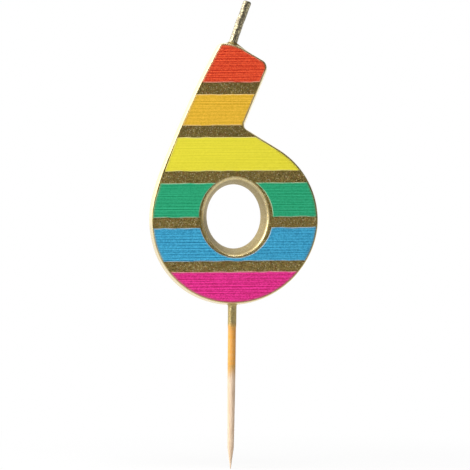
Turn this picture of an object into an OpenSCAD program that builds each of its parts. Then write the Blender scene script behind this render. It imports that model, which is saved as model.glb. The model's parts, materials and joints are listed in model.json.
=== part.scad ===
// Number candle: a moulded wax digit six in a gold dip, with raised colour stripes on its face,
// a waxed wick in the top of its stem and a wooden skewer that stands it in a cake.
// Millimetres, Z up, striped face toward -Y. The origin is on the skewer's axis, at the digit's
// lowest point, halfway through its thickness.

/* [Digit] */
// Height from the lowest point to the corner beside the wick
digit_h = 79.2; // [74:0.1:86]
// Radius of the round bowl, at the back face
bowl_r = 25.4; // [24:0.1:27]
// How far the bowl's centre lies to the right of the skewer
bowl_x = 0.6; // [-1:0.1:1.5]
// How far the bowl's underside sways to the left of its centre
bowl_sway = 0.65; // [0:0.05:1]
// How far the bowl's underside sags below its circle
bowl_sag = 0.25; // [0:0.05:0.5]
// Thickness from front to back, without the stripes
thickness = 10; // [8:0.5:14]
// How far the outline draws in from back to front, on each side
draft = 0.75; // [0.3:0.05:1]
// Rounding of the edges of both faces
edge_r = 0.3; // [0.15:0.05:0.5]
// Radius of the long left side
side_r = 245; // [200:1:280]
// Angle above level at which the left side leaves the bowl
side_rise = 17.5; // [15:0.5:20]
// Width of the stem along its sloping top
stem_w = 16.7; // [14:0.1:18]
// Lean of the stem's right side from upright
stem_lean = 22.6; // [19:0.1:25]
// Slope of the stem's top, down to the right
top_slope = 22.5; // [18:0.5:28]
// Angle above level at which the bowl runs out into its straight brow
brow_rise = 58.5; // [56:0.1:63]
// Radius of the top corner beside the wick
wick_corner_r = 1.7; // [1.4:0.1:2.4]
// Radius of the top corner on the right
right_corner_r = 3.2; // [2:0.1:4]
// Radius of the notch between stem and brow
notch_r = 1; // [0.6:0.1:2]

/* [Hole] */
// Width of the hole at the front face
hole_w = 19.6; // [17:0.1:21]
// Height of the hole at the front face
hole_h = 23.3; // [20:0.1:24]
// How far the hole draws in from front to back, on each side
hole_draft = 1.7; // [0.5:0.1:3]
// How far the hole's centre lies above the bowl's centre
hole_rise = 0.8; // [-1:0.1:1.5]
// How much higher the hole comes out at the back
hole_lift = 0.3; // [-0.5:0.1:0.5]

/* [Gold dip] */
// Thickness of the gold dip over the wax
coat_t = 0.35; // [0.25:0.05:0.5]
// Length of skewer that the dip covers
dip_l = 7.3; // [5:0.1:12]
// Thickness of the dip on the skewer, at its lower end
sleeve_t = 0.08; // [0.06:0.01:0.3]
// How much wider the dip on the skewer gets up to the digit
sleeve_flare = 0.1; // [0.04:0.01:0.4]
// Height of the bead of gold round the wick
bead_h = 0.8; // [0.5:0.1:1.5]
// How far that bead spreads from the wick over the stem's top
bead_w = 0.8; // [0.6:0.1:1.5]

/* [Stripes] */
// How far the stripes stand out from the gold face
stripe_t = 0.25; // [0.15:0.05:0.4]
// Bare gold between the stripes and the rounded edge
stripe_margin = 0.05; // [0.02:0.01:0.4]
// Tilt of the stripes, up to the right
stripe_tilt = 0.5; // [-1:0.1:1]
// Bare gold between the hole's rounded edge and the stripes, at the sides
rim_side = 0.9; // [0.6:0.1:1.5]
// Bare gold between the hole's rounded edge and the stripes, above and below
rim_end = 0.1; // [0.1:0.1:1]
// How far the stripes' cut-out lies to the right of the hole
cutout_x = 0.2; // [0:0.1:0.5]
// Height of blue that is left under the cut-out
blue_under = 1; // [0.6:0.1:2]
// Height of the blue stripe
blue_h = 10; // [8:0.1:11]
// Height of the green stripe
green_h = 10.3; // [8:0.1:12]
// Height of the yellow stripe
yellow_h = 10.1; // [8:0.1:12]
// Height of the orange stripe
orange_h = 9.3; // [8:0.1:11]
// Bare gold below the green stripe, and below the blue one
low_gap = 3.1; // [2:0.1:4]
// Bare gold below the red, the orange and the yellow stripe
high_gap = 3.5; // [2:0.1:4]

/* [Wick] */
// Diameter of the dipped wick
wick_d = 2.4; // [1.6:0.1:2.8]
// Free length of the wick above the stem's top
wick_free = 14.7; // [10:0.1:20]
// Length of wick set in the wax
wick_set = 45; // [30:1:50]
// Lean of the wick to the right
wick_lean = 19.7; // [18:0.1:25]
// Distance of the wick from the corner, along the stem's top
wick_along = 3.8; // [3:0.1:8]
// Slope of the cut across the wick's tip
tip_cut = 2; // [1:1:50]
// Room under the free stretch of wick, in which it bends
bend_gap = 0.2; // [0.1:0.05:0.4]

/* [Skewer] */
// Diameter of the skewer's straight stretch
skewer_d = 2.4; // [2.2:0.1:3]
// How much slimmer the skewer is at its upper end, inside the wax
skewer_slim = 0.2; // [0.1:0.05:0.6]
// How much slimmer the skewer is where its point begins
skewer_taper = 0.5; // [0.1:0.05:0.8]
// Length below the digit
skewer_l = 49; // [40:0.1:70]
// Wax between the skewer's upper end and the hole
skewer_cover = 3.6; // [2:0.1:6]
// Length of bare straight skewer below the dip
shank_l = 12.7; // [8:0.1:16]
// Length of the point
point_l = 6.4; // [4:0.1:10]

/* [Hidden] */

$fn = 64;

// Steps along the arcs of the outline and of the hole
bowl_steps = 64;
side_steps = 12;
corner_steps = 6;
hole_steps = 64;
// Turn from one step of a rounded edge to the next
edge_turn = 45;

// Places through the thickness, and the height of the bowl's centre
face_y = -thickness / 2;
back_y = thickness / 2;
bowl_z = bowl_r + bowl_sag;
// How far a cutting solid reaches past what it cuts
past = thickness / 10;
// Smallest radius left where an inset uses up a rounding
least_r = edge_r / 3;

// Points of the digit are [right, up] from the bowl's centre, as the face is seen.
function heading(angle) = [cos(angle), sin(angle)];
function arc(centre, r, from, to, steps, first = 0) =
    [for (i = [first:steps]) centre + r * heading(from + (to - from) * i / steps)];
// Where two lines cross, each given by its normal and its distance from the bowl's centre
function crossing(n1, d1, n2, d2) =
    [d1 * n2.y - d2 * n1.y, d2 * n1.x - d1 * n2.x] / (n1.x * n2.y - n1.y * n2.x);

// The left side is a long arc that touches the bowl from inside.
side_centre = (side_r - bowl_r) * heading(-side_rise);
corner_up = digit_h - bowl_z;
wick_corner = [side_centre.x - sqrt(side_r ^ 2 - (corner_up - side_centre.y) ^ 2), corner_up];
// The straight edges, as outward normals and distances from the bowl's centre
top_normal = heading(90 - top_slope);
top_run = heading(-top_slope);
top_reach = top_normal * wick_corner;
stem_normal = heading(-stem_lean);
stem_reach = stem_normal * (wick_corner + stem_w * top_run);
brow_normal = heading(brow_rise);
// A point from which the whole outline can be seen
star = [(stem_reach - stem_w / 3) / stem_normal.x, 0];

// Moves a point of the bowl's lower half to the left and down, smoothly more the lower it is
function swayed(p) =
    let (down = min(max(-p.y / bowl_r, 0), 1))
    p - [bowl_sway, bowl_sag] * down ^ 2 * (3 - 2 * down);

// Outline of the digit, clockwise, moved outward by grow all round
function outline(grow) =
    let (
        r1 = max(wick_corner_r + grow, least_r),
        depth = top_reach + grow - r1 - top_normal * side_centre,
        c1 = side_centre + depth * top_normal - sqrt((side_r + grow - r1) ^ 2 - depth ^ 2) * top_run,
        turn1 = atan2(c1.y - side_centre.y, c1.x - side_centre.x),
        r2 = max(right_corner_r + grow, least_r),
        c2 = crossing(top_normal, top_reach + grow - r2, stem_normal, stem_reach + grow - r2),
        r3 = max(notch_r - grow, least_r),
        c3 = crossing(stem_normal, stem_reach + grow + r3, brow_normal, bowl_r + grow + r3)
    )
    concat(
        [for (p = arc([0, 0], bowl_r + grow, brow_rise, -180 - side_rise, bowl_steps)) swayed(p)],
        arc(side_centre, side_r + grow, 180 - side_rise, turn1, side_steps, first = 1),
        arc(c1, r1, turn1, 90 - top_slope, corner_steps, first = 1),
        arc(c2, r2, 90 - top_slope, -stem_lean, corner_steps),
        arc(c3, r3, 180 - stem_lean, 180 + brow_rise, corner_steps)
    );

// Ellipse about a centre, clockwise, from its two half sizes
function ellipse(centre, half_w, half_h) =
    [for (i = [0:hole_steps - 1])
        let (around = heading(-360 * i / hole_steps))
        centre + [half_w * around.x, half_h * around.y]];

// Places through the thickness and growth of the outline there, from front to back: two rounded
// edges with the drafted side between them, all moved inward by inset
function digit_profile(inset) =
    let (
        r = max(edge_r - inset, least_r),
        front = face_y + inset,
        back = back_y - inset
    )
    concat(
        [for (a = [0:edge_turn:90]) edge_step(front + r * (1 - cos(a)), inset + r * (1 - sin(a)))],
        [for (a = [90:-edge_turn:0]) edge_step(back - r * (1 - cos(a)), inset + r * (1 - sin(a)))]
    );
function edge_step(y, inward) = [y, side_growth(y) - inward];
function side_growth(y) = -draft * (back_y - y) / thickness;

// Places through the thickness and half widths of the hole there, widened by inset, past both faces
function hole_profile(inset) =
    concat(
        [[face_y - past, hole_half(face_y) + inset + edge_r]],
        [for (a = [0:edge_turn:90])
            let (y = face_y + edge_r * (1 - cos(a)))
            [y, hole_half(y) + inset + edge_r * (1 - sin(a))]],
        [[back_y + past, hole_half(back_y + past) + inset]]
    );
function hole_half(y) = hole_w / 2 - hole_draft * (y - face_y) / thickness;

// Closed solid through sections of equal count at the given places, with ends that fan out from centre
module loft(places, sections, centre) {
    count = len(sections[0]);
    last = len(places) - 1;
    front_hub = count * (last + 1);
    back_hub = front_hub + 1;
    function lift(p, y) = [bowl_x + p.x, y, bowl_z + p.y];
    polyhedron(
        points = concat(
            [for (k = [0:last]) for (p = sections[k]) lift(p, places[k])],
            [lift(centre, places[0]), lift(centre, places[last])]
        ),
        faces = concat(
            [for (i = [0:count - 1]) [front_hub, i, (i + 1) % count]],
            [for (k = [0:last - 1]) for (i = [0:count - 1])
                let (a = k * count + i, b = k * count + (i + 1) % count)
                [a, a + count, b + count, b]],
            [for (i = [0:count - 1]) [back_hub, last * count + (i + 1) % count, last * count + i]]
        )
    );
}

// The whole digit without its hole, moved inward by inset
module digit_block(inset) {
    profile = digit_profile(inset);
    loft([for (p = profile) p[0]], [for (p = profile) outline(p[1])], star);
}

// What the hole takes out, widened by inset
module hole_block(inset) {
    profile = hole_profile(inset);
    sections = [for (p = profile)
        ellipse([0, hole_rise + hole_lift * (p[0] - face_y) / thickness], p[1], p[1] * hole_h / hole_w)];
    loft([for (p = profile) p[0]], sections, [0, hole_rise]);
}

// The wax inside the gold dip, before the wick and the skewer are set in it
module wax_block() {
    difference() {
        digit_block(coat_t);
        hole_block(coat_t);
    }
}

// Puts its children on the wick's axis, with the stem's top at height 0
module on_wick() {
    foot = wick_corner + side_growth(0) * top_normal + wick_along * top_run;
    translate([bowl_x + foot.x, 0, bowl_z + foot.y])
        rotate([0, wick_lean, 0])
            children();
}

// The stretch of wick that is set in the wax, up to the top of the gold bead
module set_wick() {
    on_wick()
        translate([0, 0, -wick_set])
            cylinder(d = wick_d, h = wick_set + bead_h);
}

// The skewer, turned about its axis: a slim cone in the wax and the dip, a straight shank, a taper
// and a point
module skewer_body() {
    skewer_r = skewer_d / 2;
    upper_end = bowl_z + hole_rise - hole_h / 2 - skewer_cover;
    shank_end = -dip_l - shank_l;
    point_start = point_l - skewer_l;
    rotate_extrude()
        polygon([
            [0, upper_end], [skewer_r - skewer_slim / 2, upper_end],
            [skewer_r, -dip_l], [skewer_r, shank_end],
            [skewer_r - skewer_taper / 2, point_start], [0, -skewer_l]
        ]);
}

module wax_core() {
    color("ivory")
        difference() {
            wax_block();
            set_wick();
            skewer_body();
        }
}

// The bead of gold round the wick, which starts inside the wax
module wick_bead() {
    spread_r = wick_d / 2 + bead_w;
    on_wick()
        rotate_extrude()
            polygon([
                [0, -2 * coat_t], [spread_r, -2 * coat_t], [spread_r, 0],
                [(wick_d + coat_t) / 2, bead_h], [0, bead_h]
            ]);
}

// The dip covers the digit and the skewer's upper end in one skin, and beads round the wick.
module gold_coat() {
    sleeve_d = skewer_d + 2 * sleeve_t;
    color("darkgoldenrod")
        difference() {
            union() {
                digit_block(0);
                wick_bead();
                translate([0, 0, -dip_l])
                    cylinder(d1 = sleeve_d, d2 = sleeve_d + sleeve_flare, h = dip_l + draft);
            }
            wax_block();
            hole_block(0);
            set_wick();
            skewer_body();
        }
}

// Heights of the stripes' edges above the bowl's centre, counted up from the hole's cut-out
cutout_centre = [cutout_x, hole_rise];
cutout_half_w = hole_w / 2 + edge_r + rim_side;
cutout_half_h = hole_h / 2 + edge_r * hole_h / hole_w + rim_end;
blue_low = cutout_centre.y - cutout_half_h - blue_under;
blue_high = blue_low + blue_h;
green_low = blue_high + low_gap;
green_high = green_low + green_h;
yellow_low = green_high + high_gap;
yellow_high = yellow_low + yellow_h;
orange_low = yellow_high + high_gap;
orange_high = orange_low + orange_h;
red_low = orange_high + high_gap;
magenta_high = blue_low - low_gap;

// One stripe of the face between two heights, from left to right of the bowl's centre
module stripe(low, high, left = -digit_h, right = digit_h) {
    translate([bowl_x, face_y, bowl_z])
        rotate([90, 0, 0])
            linear_extrude(stripe_t)
                intersection() {
                    difference() {
                        polygon(outline(side_growth(face_y) - edge_r - stripe_margin));
                        polygon(ellipse(cutout_centre, cutout_half_w, cutout_half_h));
                    }
                    rotate(stripe_tilt)
                        translate([left, low])
                            square([right - left, high - low]);
                }
}

module red_stripe() {
    color([0.84, 0.29, 0.18]) stripe(red_low, digit_h);
}

module orange_stripe() {
    color([0.88, 0.70, 0.22]) stripe(orange_low, orange_high);
}

module yellow_stripe() {
    color([0.89, 0.85, 0.24]) stripe(yellow_low, yellow_high);
}

module green_stripe_left() {
    color([0.18, 0.63, 0.45]) stripe(green_low, green_high, right = cutout_centre.x);
}

module green_stripe_right() {
    color([0.18, 0.63, 0.45]) stripe(green_low, green_high, left = cutout_centre.x);
}

module blue_stripe() {
    color([0.24, 0.61, 0.76]) stripe(blue_low, blue_high);
}

module magenta_stripe() {
    color([0.84, 0.20, 0.51]) stripe(-digit_h, magenta_high);
}

module wick_root() {
    color("gainsboro") set_wick();
}

// The free wick ends in a ball over its root, on whose centre it bends, and in a cut at its tip.
module wick() {
    wick_r = wick_d / 2;
    bend_up = bead_h + bend_gap + wick_r;
    color("goldenrod")
        on_wick()
            difference() {
                union() {
                    translate([0, 0, bend_up]) sphere(d = wick_d);
                    translate([0, 0, bend_up]) cylinder(d = wick_d, h = wick_free - bend_up);
                }
                translate([wick_r, 0, wick_free])
                    rotate([0, -tip_cut, 0])
                        translate([-2 * wick_free, -wick_d, 0])
                            cube([4 * wick_free, 2 * wick_d, wick_free]);
            }
}

module skewer() {
    color("burlywood") skewer_body();
}

wax_core();
gold_coat();
red_stripe();
orange_stripe();
yellow_stripe();
green_stripe_left();
green_stripe_right();
blue_stripe();
magenta_stripe();
wick_root();
wick();
skewer();
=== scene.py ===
"""Looks of a digit-six number candle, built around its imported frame.

The frame gives the places, the bodies and the bend of the wick. This script puts a fine surface in the
place of each visible solid: the gold dip as one skin over the digit, the raised wax stripes, the dip's
sleeve on the skewer, the skewer itself and the wick as one cord. Lengths are millimetres until a mesh
is made, and flat points are right of and above the centre of the digit's bowl.
"""

import json
import logging
import math
from dataclasses import dataclass
from enum import Enum, IntEnum
from typing import Any, Mapping, Sequence, Union

import bmesh
import bpy
import numpy as np
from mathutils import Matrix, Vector


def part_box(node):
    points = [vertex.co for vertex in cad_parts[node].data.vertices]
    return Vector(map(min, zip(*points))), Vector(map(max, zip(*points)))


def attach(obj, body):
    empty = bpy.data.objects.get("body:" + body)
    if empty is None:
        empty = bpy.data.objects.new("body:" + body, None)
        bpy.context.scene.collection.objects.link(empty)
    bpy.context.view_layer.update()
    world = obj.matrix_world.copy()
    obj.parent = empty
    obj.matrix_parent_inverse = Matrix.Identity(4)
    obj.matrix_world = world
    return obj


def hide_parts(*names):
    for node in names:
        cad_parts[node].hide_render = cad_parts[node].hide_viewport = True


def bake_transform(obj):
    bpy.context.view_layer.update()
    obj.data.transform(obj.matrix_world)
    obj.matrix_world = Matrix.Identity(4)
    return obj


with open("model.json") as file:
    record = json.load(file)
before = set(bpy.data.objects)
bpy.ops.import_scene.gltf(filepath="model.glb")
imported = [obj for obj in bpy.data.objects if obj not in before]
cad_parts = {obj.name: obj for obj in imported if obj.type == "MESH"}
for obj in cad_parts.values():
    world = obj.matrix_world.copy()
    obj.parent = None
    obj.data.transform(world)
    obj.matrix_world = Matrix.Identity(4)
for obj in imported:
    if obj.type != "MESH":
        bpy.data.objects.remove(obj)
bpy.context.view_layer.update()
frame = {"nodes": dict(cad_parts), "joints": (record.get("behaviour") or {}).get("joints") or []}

MM = 0.001
WELD = 1e-7
FULL_TURN = 2 * math.pi
WAVE_SPREAD = 0.6, 1.6

log = logging.getLogger("number_candle")


class Body(Enum):
    """Bodies of the frame."""

    CANDLE = "candle"
    WICK = "bending_wick"


class Seed(IntEnum):
    """Seeds of the random draws; each stripe adds its number to the first of theirs."""

    SIDE = 3
    FACE = 5
    STRIPES = 11
    FIBRES = 21
    WARP = 22
    DRIPS = 31
    LUMPS = 32
    FLAKES = 41
    CORD = 42
    DRIFT = 43
    UPPER_EDGES = 100


class Ease(Enum):
    """Where the steps of a run crowd together."""

    EVEN = "even"
    START = "start"
    END = "end"
    ENDS = "ends"

    def steps(self, count: int) -> np.ndarray:
        """Steps from 0 to 1, even or crowded by a cosine toward one end or both.

        Args:
            count: how many intervals the run has.

        Returns:
            count + 1 rising values.
        """
        even = np.linspace(0, 1, count + 1)
        if self is Ease.START:
            return 1 - np.cos(even * math.pi / 2)
        if self is Ease.END:
            return np.sin(even * math.pi / 2)
        if self is Ease.ENDS:
            return (1 - np.cos(even * math.pi)) / 2
        return even


@dataclass(frozen=True)
class Colour:
    """A colour as a screen shows it, with red, green and blue from 0 to 255."""

    red: float
    green: float
    blue: float

    def linear(self) -> tuple[float, float, float, float]:
        """The colour as linear light with full alpha, as sockets take it."""
        screen = np.array([self.red, self.green, self.blue]) / 255
        light = np.where(screen <= 0.04045, screen / 12.92, ((screen + 0.055) / 1.055) ** 2.4)
        return (*map(float, light), 1.0)

    def lighter(self, levels: float) -> "Colour":
        """The colour with the same number of screen levels added to red, green and blue."""
        return Colour(*(min(255.0, max(0.0, v + levels)) for v in (self.red, self.green, self.blue)))


class Wire:
    """An output socket whose operators add Math nodes to its tree."""

    def __init__(self, graph: "Graph", socket: bpy.types.NodeSocket) -> None:
        """Keeps the socket and the graph that it belongs to."""
        self.graph = graph
        self.socket = socket

    def out(self, name: str) -> "Wire":
        """Another output of the same node."""
        return Wire(self.graph, self.socket.node.outputs[name])

    def __add__(self, other: "Number") -> "Wire":
        """Sum of two values."""
        return self.graph.math("ADD", self, other)

    def __sub__(self, other: "Number") -> "Wire":
        """This value less another."""
        return self.graph.math("SUBTRACT", self, other)

    def __rsub__(self, other: "Number") -> "Wire":
        """Another value less this one."""
        return self.graph.math("SUBTRACT", other, self)

    def __mul__(self, other: "Number") -> "Wire":
        """Product of two values."""
        return self.graph.math("MULTIPLY", self, other)

    __radd__ = __add__
    __rmul__ = __mul__


Number = Union[Wire, float]


class Graph:
    """A node tree that is written as expressions."""

    def __init__(self, tree: bpy.types.NodeTree) -> None:
        """Takes over a tree and empties it."""
        self.tree = tree
        tree.nodes.clear()

    def node(
        self,
        kind: str,
        settings: Mapping[str, Any] | None = None,
        inputs: Mapping[str | int, Any] | None = None,
        output: str | int = 0,
    ) -> Wire:
        """Adds one node of any kind.

        Args:
            kind: Blender's name for the node's type.
            settings: properties of the node, which are set first.
            inputs: values or wires by the name or the number of the input socket.
            output: the output that is returned.

        Returns:
            The chosen output, or an empty wire where the node has none.
        """
        made = self.tree.nodes.new(kind)
        for name, value in (settings or {}).items():
            setattr(made, name, value)
        for name, value in (inputs or {}).items():
            if isinstance(value, Wire):
                self.tree.links.new(value.socket, made.inputs[name])
            else:
                made.inputs[name].default_value = value
        return Wire(self, made.outputs[output] if made.outputs else None)

    def math(self, operation: str, first: Number, second: Number) -> Wire:
        """One Math node on two values."""
        return self.node("ShaderNodeMath", {"operation": operation}, {0: first, 1: second})

    def vector(self, operation: str, first: Any, second: Any, output: str = "Vector") -> Wire:
        """One Vector Math node on two vectors."""
        return self.node("ShaderNodeVectorMath", {"operation": operation}, {0: first, 1: second}, output)

    def mix(self, share: Number, first: Any, second: Any) -> Wire:
        """Mixes two colours, where a share of 1 gives the second."""
        return self.node("ShaderNodeMix", {"data_type": "RGBA"}, {0: share, 6: first, 7: second}, 2)

    def between(self, value: Number, low: float, high: float) -> Wire:
        """Rises smoothly from 0 at low to 1 at high."""
        inputs = {"Value": value, "From Min": low, "From Max": high}
        return self.node("ShaderNodeMapRange", {"interpolation_type": "SMOOTHSTEP"}, inputs)

    def place(self, stretch: Sequence[float] = (1, 1, 1)) -> Wire:
        """Object coordinates in millimetres, each axis divided by its stretch."""
        place = self.node("ShaderNodeTexCoord", output="Object")
        scale = tuple(1 / (MM * s) for s in stretch)
        return self.vector("MULTIPLY", place, scale)

    def noise(self, place: Wire, size: float, detail: float = 2.0) -> Wire:
        """Soft noise from 0 to 1 whose grains are about size across."""
        inputs = {"Vector": place, "Scale": 1 / size, "Detail": detail}
        return self.node("ShaderNodeTexNoise", inputs=inputs, output="Fac")

    def attribute(self, name: str) -> Wire:
        """A value that the mesh keeps at each of its points."""
        return self.node("ShaderNodeAttribute", {"attribute_name": name}, output="Fac")

    def height(self, place: Wire) -> Wire:
        """How far up a place is."""
        return self.node("ShaderNodeSeparateXYZ", inputs={0: place}, output="Z")

    def cells(self, place: Wire, size: float) -> tuple[Wire, Wire]:
        """Random colours in cells about size across, and their red as a random value of each cell."""
        inputs = {"Vector": place, "Scale": 1 / size}
        colours = self.node("ShaderNodeTexVoronoi", inputs=inputs, output="Color")
        return colours, self.node("ShaderNodeSeparateColor", inputs={"Color": colours}, output="Red")

    def bump(self, height: Wire) -> Wire:
        """Normal of a surface raised by a height in millimetres."""
        return self.node("ShaderNodeBump", inputs={"Strength": 1.0, "Distance": MM, "Height": height})

    def surface(self, inputs: Mapping[str, Any]) -> None:
        """Ends a material in one Principled shader with these inputs."""
        shader = self.node("ShaderNodeBsdfPrincipled", inputs=inputs)
        self.node("ShaderNodeOutputMaterial", inputs={"Surface": shader})


def new_material(name: str) -> tuple[bpy.types.Material, Graph]:
    """An empty material and its graph."""
    material = bpy.data.materials.new(name)
    material.use_nodes = True
    return material, Graph(material.node_tree)


@dataclass(frozen=True)
class GoldDip:
    """Metallic gold dip: rough with tilted flakes where it pooled on the faces, bright on its edges."""

    name: str = "gold_dip"
    attribute: str = "flaky"
    deep: Colour = Colour(122, 105, 56)
    light: Colour = Colour(156, 138, 82)
    rust: Colour = Colour(150, 92, 58)
    bright: Colour = Colour(250, 240, 200)
    film: Colour = Colour(226, 202, 140)
    # painted glint: the pale colour of the few flakes that stand in for glints
    glint_paint: Colour = Colour(238, 225, 182)
    stain: Colour = Colour(234, 168, 72)
    grazing: Colour = Colour(255, 250, 234)
    flake: float = 0.25
    blotch: float = 1.4
    wave: float = 3.0
    tilt: float = 0.3
    smooth_tilt: float = 0.03
    sag: float = 0.06
    # painted light: how far the flaky tone is lifted toward the bottom
    painted_floor_lift: float = 0.2
    rusting: float = 0.6
    painted_glint_share: float = 0.35
    fringe: float = 1.6
    bareness: float = 0.85
    smooth: float = 0.2
    rough: float = 0.17
    lowness_span: tuple[float, float] = (75.0, 0.0)
    frays_out: tuple[float, float] = (-5.0, -7.0)

    def material(self) -> bpy.types.Material:
        """Builds the dip: a random tone and tilt in each cell of a Voronoi pattern, over soft mottling."""
        material, graph = new_material(self.name)
        flaky = graph.attribute(self.attribute)
        place = graph.place()
        cells, luck = graph.cells(place, self.flake)
        mottle = graph.noise(place, self.blotch, 4.0)
        height = graph.height(place)
        # lowness runs from 0 at 75 mm up to 1 at the digit's bottom
        lowness = graph.between(height, *self.lowness_span)
        # painted light: the flaky tone grows lighter toward the bottom, standing in for light from the pale
        # floor below
        tone = graph.between(luck * 0.65 + mottle * 0.35 + lowness * self.painted_floor_lift, 0.35, 0.9)
        colour = graph.mix(tone, self.deep.linear(), self.light.linear())
        rusty = graph.between(luck.out("Green"), 0.9, 0.94)
        colour = graph.mix(rusty * self.rusting, colour, self.rust.linear())
        # painted glint: a few random cells turn pale cream, standing in for flakes that catch the light
        painted_glint = graph.between(luck.out("Green"), 0.1, 0.06)
        colour = graph.mix(painted_glint * self.painted_glint_share, colour, self.glint_paint.linear())
        # the edge film turns a deeper yellow toward the bottom
        thick = graph.between(mottle * 0.5 + luck * 0.2 + lowness * 0.25, 0.25, 0.75)
        film = graph.mix(thick, self.bright.linear(), self.film.linear())
        colour = graph.mix(flaky, film, colour)
        ragged = height + (mottle - 0.5) * self.fringe
        frayed = graph.between(ragged, *self.frays_out) * self.bareness
        colour = graph.mix(frayed, colour, self.stain.linear())
        from_cell = graph.vector("SUBTRACT", place, cells.out("Position"))
        lean = graph.vector("SUBTRACT", cells, (0.5, 0.5, 0.5))
        facet = graph.vector("DOT_PRODUCT", from_cell, lean, "Value")
        sagging = graph.noise(place, self.wave, 2.0) * self.sag
        relief = facet * (flaky * self.tilt + self.smooth_tilt) + sagging
        graph.surface({
            "Base Color": colour,
            "Metallic": 1 - frayed,
            "Specular Tint": self.grazing.linear(),
            "Roughness": (luck.out("Blue") * 0.1 + self.rough) * flaky + self.smooth,
            "Normal": graph.bump(relief),
        })
        return material


@dataclass(frozen=True)
class StripeWax:
    """Satin coloured wax, drawn out in fine lines along the stripe, with a pale, patchy painted highlight
    on its edges.
    """

    name: str
    colour: Colour
    swing: float
    attribute: str = "brushed"
    edge_attribute: str = "edge"
    gilt_attribute: str = "gilt"
    gilt: Colour = Colour(112, 102, 56)
    gilding: float = 0.6
    # painted highlight: the pale colour of the stripe's rims and how much of it they take
    edge_highlight: Colour = Colour(226, 208, 180)
    edge_highlight_share: float = 0.4
    patch: float = 2.5
    speck: float = 0.3
    speck_h: float = 0.006
    thread: tuple[float, float, float] = (60.0, 1.0, 0.3)
    thread_h: float = 0.008
    rough: float = 0.3
    gloss: float = 0.3

    def material(self) -> bpy.types.Material:
        """Builds the wax: light and dark along the piece's brushed lines, in specks that differ in tone."""
        material, graph = new_material(self.name)
        lines = graph.attribute(self.attribute)
        edge = graph.attribute(self.edge_attribute)
        gilded = graph.attribute(self.gilt_attribute)
        place = graph.place()
        threads = graph.noise(graph.place(self.thread), 1.0, 3.0)
        _, luck = graph.cells(place, self.speck)
        tone = graph.between(lines * 0.62 + threads * 0.2 + luck * 0.18, 0.2, 0.8)
        dark = self.colour.lighter(-self.swing).linear()
        pale = self.colour.lighter(self.swing).linear()
        patchy = graph.between(graph.noise(place, self.patch, 3.0), 0.25, 0.6)
        height = threads * self.thread_h + graph.noise(place, self.speck, 2.0) * self.speck_h
        colour = graph.mix(tone, dark, pale)
        colour = graph.mix(gilded * (0.4 + luck * 0.8) * self.gilding, colour, self.gilt.linear())
        graph.surface({
            # painted highlight: pale, patchy colour on the stripe's rims, standing in for light caught by
            # its raised edges
            "Base Color": graph.mix(edge * (1 - gilded) * patchy * self.edge_highlight_share, colour, self.edge_highlight.linear()),
            "Roughness": tone * 0.1 + self.rough,
            "Specular IOR Level": self.gloss,
            "Normal": graph.bump(height),
        })
        return material


class Wax(Enum):
    """Finishes of the stripes."""

    RED = StripeWax("red_wax", Colour(210, 57, 15), 40)
    ORANGE = StripeWax("orange_wax", Colour(222, 174, 43), 23)
    YELLOW = StripeWax("yellow_wax", Colour(225, 214, 53), 9)
    GREEN = StripeWax("green_wax", Colour(26, 155, 107), 23)
    BLUE = StripeWax("blue_wax", Colour(33, 144, 185), 44)
    MAGENTA = StripeWax("magenta_wax", Colour(213, 11, 120), 46)


@dataclass(frozen=True)
class SkewerWood:
    """Pale dowel wood with long fibres, stained orange under the end of the dip."""

    dip_end: float
    stain_end: float
    name: str = "skewer_wood"
    pale: Colour = Colour(236, 211, 183)
    fibre: Colour = Colour(212, 180, 148)
    stain: Colour = Colour(230, 160, 62)
    ochre: Colour = Colour(204, 152, 58)
    gold: Colour = Colour(170, 148, 88)
    fibre_w: float = 0.22
    fibre_h: float = 0.03
    fibre_run: tuple[float, float, float] = (1, 1, 16)
    band_w: float = 0.9
    band_h: float = 0.02
    band_run: tuple[float, float, float] = (1, 1, 7)
    streak_w: float = 0.6
    streak_run: tuple[float, float, float] = (1, 1, 5)
    ring_w: float = 1.1
    ring_run: tuple[float, float, float] = (6, 6, 1)
    fleck: float = 0.25
    fleck_reach: float = 3.0
    stain_fade: float = 2.5
    stain_reach: float = 3.5
    ochre_reach: float = 8.0
    ochre_rises: tuple[float, float] = (9.0, 5.0)
    gold_rises: tuple[float, float] = (-0.2, 1.6)
    rough: float = 0.58
    gloss: float = 0.35

    def material(self) -> bpy.types.Material:
        """Builds the wood: long fibres, a stain that fades downward and stray gold at its top."""
        material, graph = new_material(self.name)
        place = graph.place()
        height = graph.height(place)
        fibres = graph.noise(graph.place(self.fibre_run), self.fibre_w, 4.0)
        bands = graph.noise(graph.place(self.band_run), self.band_w, 2.0)
        grain = graph.between(fibres * 0.6 + bands * 0.4, 0.35, 0.7)
        colour = graph.mix(grain, self.pale.linear(), self.fibre.linear())
        streaks = (graph.noise(graph.place(self.streak_run), self.streak_w, 2.0) - 0.5) * self.stain_reach
        above = height - self.stain_end
        stain = graph.between(above + streaks, -self.stain_fade, self.stain_fade)
        rings = graph.noise(graph.place(self.ring_run), self.ring_w, 3.0)
        ochre = graph.between(above + rings * self.ochre_reach, *self.ochre_rises)
        dye = graph.mix(ochre, self.stain.linear(), self.ochre.linear())
        colour = graph.mix(stain * (0.7 + rings * 0.4), colour, dye)
        flecks = (graph.noise(place, self.fleck, 3.0) - 0.5) * self.fleck_reach
        gold = graph.between(height - self.dip_end + flecks, *self.gold_rises)
        graph.surface({
            "Base Color": graph.mix(gold, colour, self.gold.linear()),
            "Metallic": gold * 0.9,
            "Roughness": self.rough - gold * 0.2 - stain * 0.1,
            "Specular IOR Level": self.gloss,
            "Normal": graph.bump(fibres * self.fibre_h + bands * self.band_h),
        })
        return material


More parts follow.
